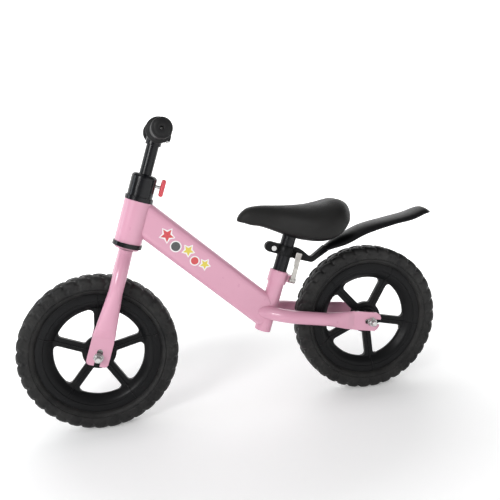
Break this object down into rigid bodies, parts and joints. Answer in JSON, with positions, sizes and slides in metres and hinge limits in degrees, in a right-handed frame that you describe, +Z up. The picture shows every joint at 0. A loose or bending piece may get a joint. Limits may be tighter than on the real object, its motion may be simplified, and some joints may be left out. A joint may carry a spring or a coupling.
{
  "type": "balance bike",
  "caption": "Child's pedal-less balance bike: pink tube frame, spoked black wheels, turning fork, height-adjustable bar and saddle, rear mudguard.",
  "frame": {"origin": "on the ground, midway between the two wheel axles, on the bike's centre plane", "axes": "+X forward, +Y to the rider's left, +Z up"},
  "size_m": [0.812, 0.36, 0.5574],
  "materials": {
    "pink_paint": "gloss",
    "black_gloss_plastic": "gloss",
    "black_matte_plastic": "matte",
    "black_paint": "gloss",
    "zinc_steel": "satin",
    "lever_alloy": "satin",
    "red_plastic": "gloss",
    "grip_rubber": "matte",
    "tyre": "matte",
    "saddle_vinyl": "satin"
  },
  "bodies": {
    "frame": {"head_tube": "pink_paint", "main_tube": "pink_paint", "seat_tube": "pink_paint", "left_stay": "pink_paint", "right_stay": "pink_paint", "upper_headset_bush": "black_gloss_plastic", "lower_headset_bush": "black_gloss_plastic", "seat_collar": "pink_paint", "seat_skewer": "zinc_steel", "seat_skewer_nut": "zinc_steel", "seat_cam_washer": "zinc_steel", "rear_axle": "zinc_steel", "rear_axle_spacers": "zinc_steel", "rear_axle_washers": "zinc_steel", "rear_axle_nuts": "zinc_steel"},
    "fork": {"fork_steerer": "pink_paint", "fork_left_leg": "pink_paint", "fork_right_leg": "pink_paint", "clamp_collar": "black_gloss_plastic", "front_axle": "zinc_steel", "front_axle_spacers": "zinc_steel", "front_axle_washers": "zinc_steel", "front_axle_nuts": "zinc_steel"},
    "clamp_knob": {"clamp_knob": "red_plastic", "clamp_screw": "zinc_steel"},
    "handlebar": {"stem_tube": "black_paint", "stem_lug": "black_paint", "stem_bolt": "zinc_steel", "handlebar_tube": "black_paint", "left_grip": "grip_rubber", "right_grip": "grip_rubber"},
    "front_wheel": {"front_tyre": "tyre", "front_rim": "black_matte_plastic", "front_bearings": "zinc_steel"},
    "rear_wheel": {"rear_tyre": "tyre", "rear_rim": "black_matte_plastic", "rear_bearings": "zinc_steel"},
    "seat": {"seat_post": "black_paint", "saddle_shell": "black_matte_plastic", "saddle_cover": "saddle_vinyl", "mudguard": "black_matte_plastic", "mudguard_bolt": "zinc_steel", "mudguard_nut": "zinc_steel"},
    "seat_lever": {"seat_lever": "lever_alloy"}
  },
  "joints": [
    {"name": "steer", "type": "hinge", "parent": "frame", "child": "fork", "pos_m": [0.1755, 0, 0.37992], "axis": [-0.342, 0, 0.9397], "continuous": true},
    {"name": "handlebar_height", "type": "slide", "parent": "fork", "child": "handlebar", "axis": [-0.342, 0, 0.9397], "range_m": [-0.04, 0.05]},
    {"name": "clamp_knob_turn", "type": "hinge", "parent": "fork", "child": "clamp_knob", "pos_m": [0.11815, 0, 0.43514], "axis": [0.9397, 0, 0.342], "range_deg": [0, 360]},
    {"name": "front_wheel_spin", "type": "hinge", "parent": "fork", "child": "front_wheel", "pos_m": [0.261, 0, 0.145], "axis": [0, 1, 0], "continuous": true},
    {"name": "rear_wheel_spin", "type": "hinge", "parent": "frame", "child": "rear_wheel", "pos_m": [-0.261, 0, 0.145], "axis": [0, 1, 0], "continuous": true},
    {"name": "seat_height", "type": "slide", "parent": "frame", "child": "seat", "axis": [-0.342, 0, 0.9397], "range_m": [-0.008, 0.06]},
    {"name": "seat_lever_turn", "type": "hinge", "parent": "frame", "child": "seat_lever", "pos_m": [-0.10901, 0.0186, 0.24148], "axis": [-0.9397, 0, -0.342], "range_deg": [0, 150]}
  ]
}
